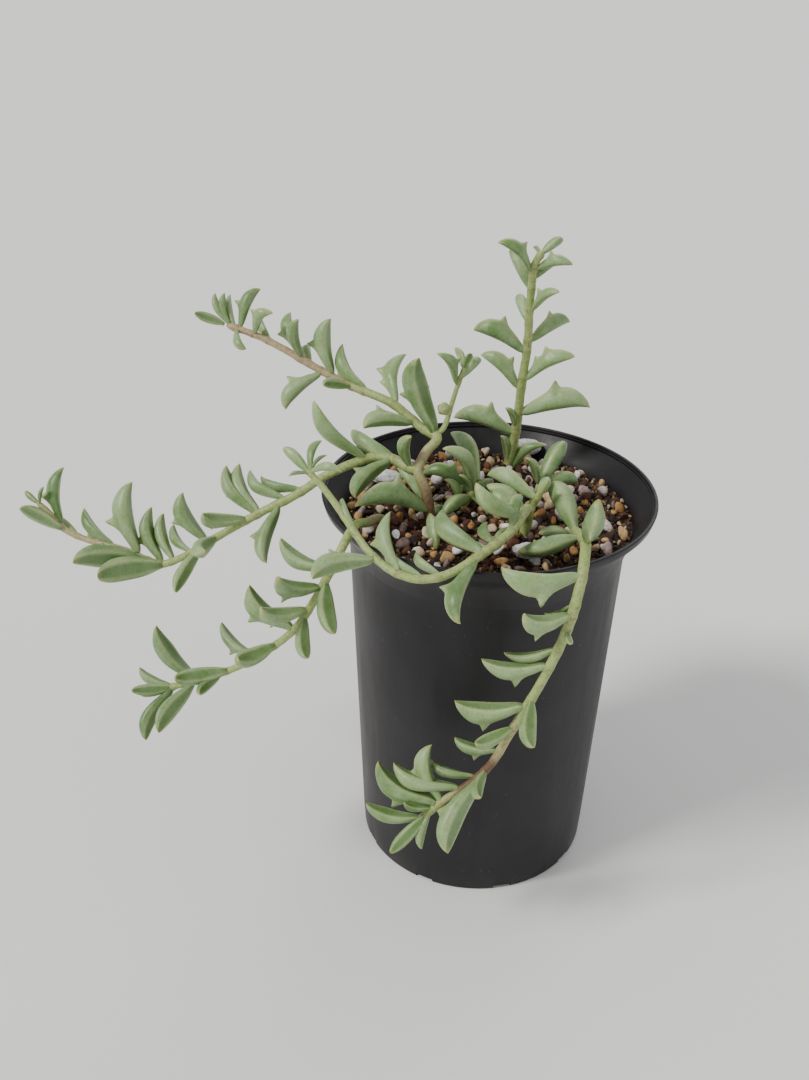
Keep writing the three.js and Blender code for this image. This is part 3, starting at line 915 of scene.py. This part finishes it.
leafShape = {
    # the side view of a leaf one unit long: its back, its inner edge and half its thickness
    "back": [(0, 0.05), (0.08, 0.09), (0.2, 0.165), (0.35, 0.25), (0.5, 0.315), (0.62, 0.335),
             (0.74, 0.315), (0.85, 0.25), (0.93, 0.165), (0.975, 0.09), (1, 0)],
    "inner": [(0, -0.05), (0.08, -0.06), (0.2, -0.035), (0.4, 0.01), (0.6, 0.03), (0.8, 0.03),
              (0.92, 0.015), (0.97, 0.01), (1, 0)],
    "half": [(0, 0.05), (0.08, 0.065), (0.2, 0.1), (0.35, 0.128), (0.55, 0.142), (0.72, 0.132),
             (0.85, 0.1), (0.94, 0.062), (0.98, 0.035), (1, 0)],
    "around": 18,
}
leafKinds = [
    # fins as (place, height), how deep the back is, and how thick
    {"fins": [], "depth": 0.9, "thick": 1.0},
    {"fins": [(0.53, 0.13)], "depth": 1.0, "thick": 1.0},
    {"fins": [(0.46, 0.145)], "depth": 0.94, "thick": 0.96},
    {"fins": [(0.36, 0.09), (0.62, 0.12)], "depth": 1.0, "thick": 0.95},
    {"fins": [], "depth": 0.62, "thick": 0.9},
]


def softValue(points, place):
    # a smooth line through the points of an outline
    flat = np.array([(x, 0, y) for x, y in points])
    fine = smoothPath(flat, 0.02)
    return np.interp(place, fine[:, 0], fine[:, 2])


def finHeight(place, fins):
    height = 0.0
    for middle, tall in fins:
        width = 0.08 if place < middle else 0.042   # it leans towards the tip
        height += tall * math.exp(-abs((place - middle) / width) ** 1.7)
    return height


def makeLeafShape(name, kind):
    places = [0.5 - 0.5 * math.cos(math.pi * i / 24) for i in range(1, 24)]
    for middle, tall in kind["fins"]:
        places += [middle + step for step in (-0.06, -0.03, 0.0, 0.02, 0.04, 0.07)]
    places = sorted(places)
    places = [p for i, p in enumerate(places) if i == 0 or p - places[i - 1] > 0.008]
    around = leafShape["around"]
    points, along, edge, face = [(0, 0, 0)], [0.0], [0.0], [0.0]
    for place in places:
        back = float(softValue(leafShape["back"], place)) * kind["depth"]
        inner = float(softValue(leafShape["inner"], place)) * kind["depth"]
        half = float(softValue(leafShape["half"], place)) * kind["thick"]
        fin = finHeight(place, kind["fins"])
        middle, reach = (back + inner) / 2, (back - inner) / 2
        for i in range(around):
            angle = 2 * math.pi * i / around
            rise, side = math.cos(angle), math.sin(angle)
            keel = 0.5 + 0.5 * rise
            y = 1.22 * half * side * (1 - 0.38 * keel ** 2)
            z = middle + reach * (rise if rise > -0.8 else -0.8 - 0.35 * (-0.8 - rise))
            z += 0.16 * reach * math.exp(-(side / 0.32) ** 2) * (rise < 0) * min(1, place / 0.25)
            if rise > 0:
                z += fin * rise ** 9
                y *= 1 - 0.5 * min(1, fin / 0.1) * keel ** 4
            points.append((place, y, z))
            along.append(place)
            # edge: the pale margins along the two lower edges are the leaf's own; the pale line along the keel of the
            # back is partly a painted highlight
            edge.append(max(0.0, rise) ** 10 + math.exp(-((abs(angle - math.pi) - 0.62) / 0.16) ** 2))
            face.append(1.0 if rise < -0.8 else 0.0)
    points.append((1, 0, 0))
    along.append(1.0)
    edge.append(1.0)
    face.append(0.0)
    last = len(points) - 1
    faces = [(0, 1 + i, 1 + (i + 1) % around) for i in range(around)]
    for row in range(len(places) - 1):
        for i in range(around):
            a, b = 1 + row * around + i, 1 + row * around + (i + 1) % around
            faces.append((a, a + around, b + around, b))
    start = 1 + (len(places) - 1) * around
    faces += [(start + (i + 1) % around, start + i, last) for i in range(around)]
    mesh = meshFrom(name, points, faces)
    for label, values in (("along", along), ("edge", edge), ("innerFace", face)):
        mesh.attributes.new(label, "FLOAT", "POINT").data.foreach_set("value", np.array(values, "f"))
    cleanMesh(mesh, 0.0001)
    return mesh


def buildLeafTree():
    tree, start, end = newTree("leafSpray", [
        ("Shapes", "NodeSocketCollection", None),
        ("Bend", "NodeSocketFloat", 0.001),
        ("Bend Size", "NodeSocketFloat", 45.0),
        ("Seed", "NodeSocketInt", 1),
        ("Finish", "NodeSocketMaterial", None),
    ])
    shapes = addNode(tree, "GeometryNodeCollectionInfo", {
        "Collection": start.outputs["Shapes"], "Separate Children": True, "Reset Children": True})
    turn = addNode(tree, "FunctionNodeAxesToRotation", {
        "Primary Axis": named(tree, "along", "FLOAT_VECTOR"),
        "Secondary Axis": named(tree, "back", "FLOAT_VECTOR")}, primary_axis="X", secondary_axis="Z")
    place = addNode(tree, "GeometryNodeInstanceOnPoints", {
        "Points": start.outputs["Geometry"],
        "Instance": shapes.outputs[0],
        "Pick Instance": True,
        "Instance Index": named(tree, "shape", "INT"),
        "Rotation": turn.outputs[0],
        "Scale": named(tree, "size", "FLOAT_VECTOR"),
    })
    tint = addNode(tree, "FunctionNodeRandomValue", {"Seed": start.outputs["Seed"]}, data_type="FLOAT")
    marked = addNode(tree, "GeometryNodeStoreNamedAttribute", {
        "Geometry": place.outputs["Instances"], "Name": "leafTint", "Value": tint.outputs[1]},
        data_type="FLOAT", domain="INSTANCE")
    real = addNode(tree, "GeometryNodeRealizeInstances", {"Geometry": marked.outputs["Geometry"]})
    # a slow noise bends each leaf its own way
    sway = addNode(tree, "ShaderNodeTexNoise", {"Scale": start.outputs["Bend Size"], "Detail": 1.0})
    centred = addNode(tree, "ShaderNodeVectorMath", {0: sway.outputs["Color"], 1: (0.5, 0.5, 0.5)},
                      operation="SUBTRACT")
    reach = addNode(tree, "ShaderNodeVectorMath", {0: centred.outputs[0], "Scale": start.outputs["Bend"]},
                    operation="SCALE")
    loose = addNode(tree, "ShaderNodeVectorMath", {
        0: reach.outputs[0], "Scale": named(tree, "along", "FLOAT")}, operation="SCALE")
    bent = addNode(tree, "GeometryNodeSetPosition", {
        "Geometry": real.outputs["Geometry"], "Offset": loose.outputs[0]})
    done = addNode(tree, "GeometryNodeSetMaterial", {
        "Geometry": bent.outputs["Geometry"], "Material": start.outputs["Finish"]})
    tree.links.new(done.outputs["Geometry"], end.inputs["Geometry"])
    return tree


leafColours = {
    "green": (0.075, 0.165, 0.034, 1),
    "light": (0.19, 0.32, 0.08, 1),
    "bloom": (0.33, 0.44, 0.23, 1),
    # the pale colour of the leaf margins, also painted along the keel as a partial painted highlight
    "marginAndKeelHighlight": (0.50, 0.58, 0.27, 1),
    "tip": (0.46, 0.42, 0.14, 1),
}


def leafMaterial(colours):
    material, tree, shader = newMaterial("leafSkin")
    where = objectCoordinates(tree)
    tint = attribute(tree, "leafTint")
    along = attribute(tree, "along")
    patchy = noiseValue(tree, where, 150.0, 4.0, 0.6)
    fine = noiseValue(tree, where, 1100.0, 3.0, 0.6)
    body = mixColour(tree, tint, colours["green"], colours["light"])
    bloomShare = calculate(tree, "ADD", patchy, calculate(tree, "MULTIPLY", tint, 0.25))
    powder = mixColour(tree, ramp(tree, bloomShare, [(0.42, grey(0.1)), (0.8, grey(0.75))]), body, colours["bloom"])
    window = mixColour(tree, calculate(tree, "MULTIPLY", attribute(tree, "innerFace"), 0.45), powder, colours["green"])
    # pale margins, plus a pale line on the keel that is partly a painted highlight along the leaf's back
    marginedAndHighlighted = mixColour(tree, calculate(tree, "MULTIPLY", attribute(tree, "edge"), 0.6), window, colours["marginAndKeelHighlight"])
    tipShare = ramp(tree, along, [(0.9, grey(0)), (0.97, grey(0.35)), (1.0, grey(0.85))])
    tipped = mixColour(tree, tipShare, marginedAndHighlighted, colours["tip"])
    speck = ramp(tree, fine, [(0.35, grey(0.82)), (0.55, grey(1.0))])
    tree.links.new(mixColour(tree, 1.0, tipped, speck, "MULTIPLY"), shader.inputs["Base Color"])
    rough = ramp(tree, patchy, [(0.3, grey(0.34)), (0.7, grey(0.52))])
    tree.links.new(rough, shader.inputs["Roughness"])
    shader.inputs["Subsurface Weight"].default_value = 0.18
    shader.inputs["Subsurface Radius"].default_value = (0.8, 1.0, 0.4)
    shader.inputs["Subsurface Scale"].default_value = 1.2 * mm
    ripple = noiseValue(tree, where, 260.0, 3.0)
    under = bump(tree, ripple, 0.3, 0.35 * mm)
    tree.links.new(bump(tree, fine, 0.22, 0.08 * mm, under), shader.inputs["Normal"])
    return material


def unit(vector):
    return vector / np.linalg.norm(vector)


def measureLeaf(node, stem):
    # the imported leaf's tip, base and back
    points, path = nodePoints(node), stemPaths[stem]
    gap = np.linalg.norm(points[:, None] - path[None], axis=2).min(axis=1)
    tip = points[gap.argmax()]
    order = np.argsort(-np.linalg.norm(points - tip, axis=1))
    base = points[order[:7]].mean(axis=0)
    chord = unit(tip - base)
    offset = (points - base) - np.outer((points - base) @ chord, chord)
    back = offset[np.linalg.norm(offset, axis=1).argmax()]
    return base, tip, back


def leafRow(base, tip, back, kind, depth=1.0, thick=1.0):
    length = np.linalg.norm(tip - base)
    chord = unit(tip - base)
    back = unit(back - (back @ chord) * chord)
    return base, chord, back, (length, length * thick, length * depth), kind


def makeLeaves(name, rows, tree, shapes, material, seed, *nodes):
    mesh = bpy.data.meshes.new(name)
    mesh.from_pydata([tuple(row[0]) for row in rows], [], [])
    for label, kind, column, key in (("along", "FLOAT_VECTOR", 1, "vector"), ("back", "FLOAT_VECTOR", 2, "vector"),
                                     ("size", "FLOAT_VECTOR", 3, "vector"), ("shape", "INT", 4, "value")):
        layer = mesh.attributes.new(label, kind, "POINT")
        layer.data.foreach_set(key, np.array([row[column] for row in rows]).ravel())
    piece = addObject(name, mesh)
    runTree(piece, tree, {
        "Shapes": shapes, "Bend": 4.5 * mm, "Bend Size": 42.0, "Seed": seed, "Finish": material})
    finishPiece(piece, "leaf", *nodes)


def leafDepth(chord, growth):
    # leaves that lie along the stem are straighter
    return min(max(1 - float(chord @ growth), 0.3), 1.2)


def makeAllLeaves():
    shapes = bpy.data.collections.new("leafShapes")
    for i, kind in enumerate(leafKinds):
        shapes.objects.link(bpy.data.objects.new(f"leafShape{i}", makeLeafShape(f"leafShape{i}", kind)))
    tree, material = buildLeafTree(), leafMaterial(leafColours)
    pick = np.random.default_rng(40)
    seed = 1
    places = {name: [] for name in stemSettings}
    for stem, path in stemPaths.items():
        for i, fins in enumerate(packedFins.get(stem, ()), 1):
            node = f"{stem}_leaf_{i}"
            base, tip, back = measureLeaf(node, stem)
            near = int(np.linalg.norm(path - base, axis=1).argmin())
            places[stem].append(pathLengths(path)[near])
            base = path[near] + 0.9 * mm * unit(base - path[near])
            depth = float(np.linalg.norm(back)) / (0.3 * np.linalg.norm(tip - base))
            kind = (0, int(pick.integers(1, 3)), 3)[fins]
            rows = [leafRow(base, tip, back, kind, min(max(depth, 0.6), 1.1), pick.uniform(0.92, 1.12))]
            makeLeaves(pieceName(node), rows, tree, shapes, material, seed, node)
            seed += 1
        rows = []
        joint = 0.0
        if stem in parentStem:
            joint = np.linalg.norm(path[0] - stemStart(stem))
        for distance, way, fins in moreLeaves[stem]:
            fromRoot = min(distance * mm + joint, pathLengths(path)[-1] - 1.2 * mm)
            centre, growth = pathPoint(path, fromRoot)
            tip = centre + np.array(way) * mm
            chord = unit(tip - centre)
            outward = unit(chord - 0.7 * (chord @ growth) * growth)
            base = centre + (0.8 if fromRoot < 0.95 * pathLengths(path)[-1] else 0.3) * mm * outward
            kind = (0, int(pick.integers(1, 3)), 3)[fins]
            if np.linalg.norm(tip - base) < 10.5 * mm:
                kind = 4
            back = growth - 0.98 * (growth @ chord) * chord + 0.05 * np.array((0, 0, 1.0))
            rows.append(leafRow(base, tip, back, kind, 0.74 + 0.28 * leafDepth(chord, growth),
                                pick.uniform(0.9, 1.15)))
            places[stem].append(distance * mm + joint)
        makeLeaves(pieceName(stem) + "MoreLeaves", rows, tree, shapes, material, seed)
        seed += 1
    for shape in list(shapes.objects):
        bpy.data.objects.remove(shape)
    return places


def stemStart(stem):
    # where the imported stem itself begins, past the stretch that reaches into its parent
    centres = stemCentres(stem)
    parent = stemPaths[parentStem[stem]]
    reach = [np.linalg.norm(parent - end, axis=1).min() for end in (centres[0], centres[-1])]
    return centres[0] if reach[0] < reach[1] else centres[-1]


leafPlaces = makeAllLeaves()
print("leaves made")

stemTree = buildStemTree()
stemSkin = stemMaterial("stemSkin", stemColours)
for stemName, stemRow in stemSettings.items():
    makeStem(stemName, stemTree, stemSkin, stemRow, leafPlaces[stemName])
print("stems made")


# flower bud

budSettings = {"ribs": 5, "rings": 22, "turns": 40}


def makeBud(settings):
    low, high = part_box("flower_bud")
    centre, radius = (low + high) / 2, (high - low).x / 2
    path = stemPaths["budding_shoot"]
    near = Vector(path[np.linalg.norm(path - np.array(centre), axis=1).argmin()])
    axis = (centre - near).normalized()
    turn = axis.to_track_quat("Z", "X").to_matrix()
    points, faces = [], []
    rings, turns = settings["rings"], settings["turns"]
    for ring in range(rings + 1):
        polar = math.pi * ring / rings
        for i in range(turns):
            angle = 2 * math.pi * i / turns
            rib = 0.06 * math.cos(settings["ribs"] * angle) * math.sin(polar)
            reach = radius * (0.94 + rib)
            spot = Vector((math.sin(polar) * math.cos(angle) * 0.93, math.sin(polar) * math.sin(angle) * 0.93,
                           math.cos(polar) * (1.06 if polar < math.pi / 2 else 1.0)))
            points.append(centre + turn @ (spot * reach))
    for ring in range(rings):
        for i in range(turns):
            a, b = ring * turns + i, ring * turns + (i + 1) % turns
            faces.append((a, a + turns, b + turns, b))
    # the stalk between the shoot and the bud
    stalkStart, stalkEnd = near, centre - axis * radius * 0.8
    for share in np.linspace(0, 1, 6):
        spot = stalkStart.lerp(stalkEnd, share)
        width = (0.55 + 0.5 * share ** 4) * mm
        for i in range(turns):
            angle = 2 * math.pi * i / turns
            points.append(spot + turn @ Vector((width * math.cos(angle), width * math.sin(angle), 0)))
    start = (rings + 1) * turns
    for ring in range(5):
        for i in range(turns):
            a, b = start + ring * turns + i, start + ring * turns + (i + 1) % turns
            faces.append((a, b, b + turns, a + turns))
    faces.append(tuple(start + i for i in reversed(range(turns))))
    faces.append(tuple(start + 5 * turns + i for i in range(turns)))
    bud = addObject("flowerBud", meshFrom("flowerBud", points, faces))
    cleanMesh(bud.data)
    material, tree, shader = newMaterial("budSkin")
    where = objectCoordinates(tree)
    patchy = noiseValue(tree, where, 380.0, 3.0)
    tree.links.new(ramp(tree, patchy, [(0.3, (0.20, 0.27, 0.09)), (0.7, (0.36, 0.42, 0.18))]),
                   shader.inputs["Base Color"])
    shader.inputs["Roughness"].default_value = 0.5
    tree.links.new(bump(tree, noiseValue(tree, where, 1500.0, 3.0), 0.3, 0.08 * mm), shader.inputs["Normal"])
    bud.data.materials.append(material)
    finishPiece(bud, "bud", "flower_bud")


makeBud(budSettings)
print("bud made")


# the three large pumice stones

pumiceColours = [(0.0, (0.60, 0.57, 0.56)), (0.5, (0.80, 0.78, 0.79)), (1.0, (0.88, 0.87, 0.88))]


def makePumice(node, seed):
    low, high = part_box(node)
    centre, size = (low + high) / 2, high - low
    work = bmesh.new()
    bmesh.ops.create_icosphere(work, subdivisions=5, radius=0.5)
    shift = Vector((seed * 13.7, seed * 5.1, 0))
    for v in work.verts:
        spot = v.co.copy()
        lump = 0.11 * noise.noise(spot * 3.2 + shift) + 0.055 * noise.noise(spot * 8 + shift)
        pit = noise.voronoi(spot * 9 + shift)[0][0]
        v.co = spot * (0.98 + lump - 0.05 * max(0.0, 0.35 - pit) / 0.35)
    for v in work.verts:
        v.co = centre + Vector((v.co.x * size.x, v.co.y * size.y, v.co.z * size.z)) * 1.02
    mesh = bpy.data.meshes.new(node)
    work.to_mesh(mesh)
    work.free()
    mesh.polygons.foreach_set("use_smooth", [True] * len(mesh.polygons))
    stone = addObject(pieceName(node), mesh)
    tint = mesh.attributes.new("stoneTint", "FLOAT", "POINT")
    tint.data.foreach_set("value", np.full(len(mesh.vertices), 0.25 + 0.25 * seed, "f"))
    mesh.materials.append(gritMaterial(node + "Skin", pumiceColours, 0.92, 900.0, 0.5))
    finishPiece(stone, "pumice", node)


for stoneSeed, stoneNode in enumerate(("back_pumice_stone", "left_pumice_stone", "front_pumice_stone")):
    makePumice(stoneNode, stoneSeed)
print("pumice made")
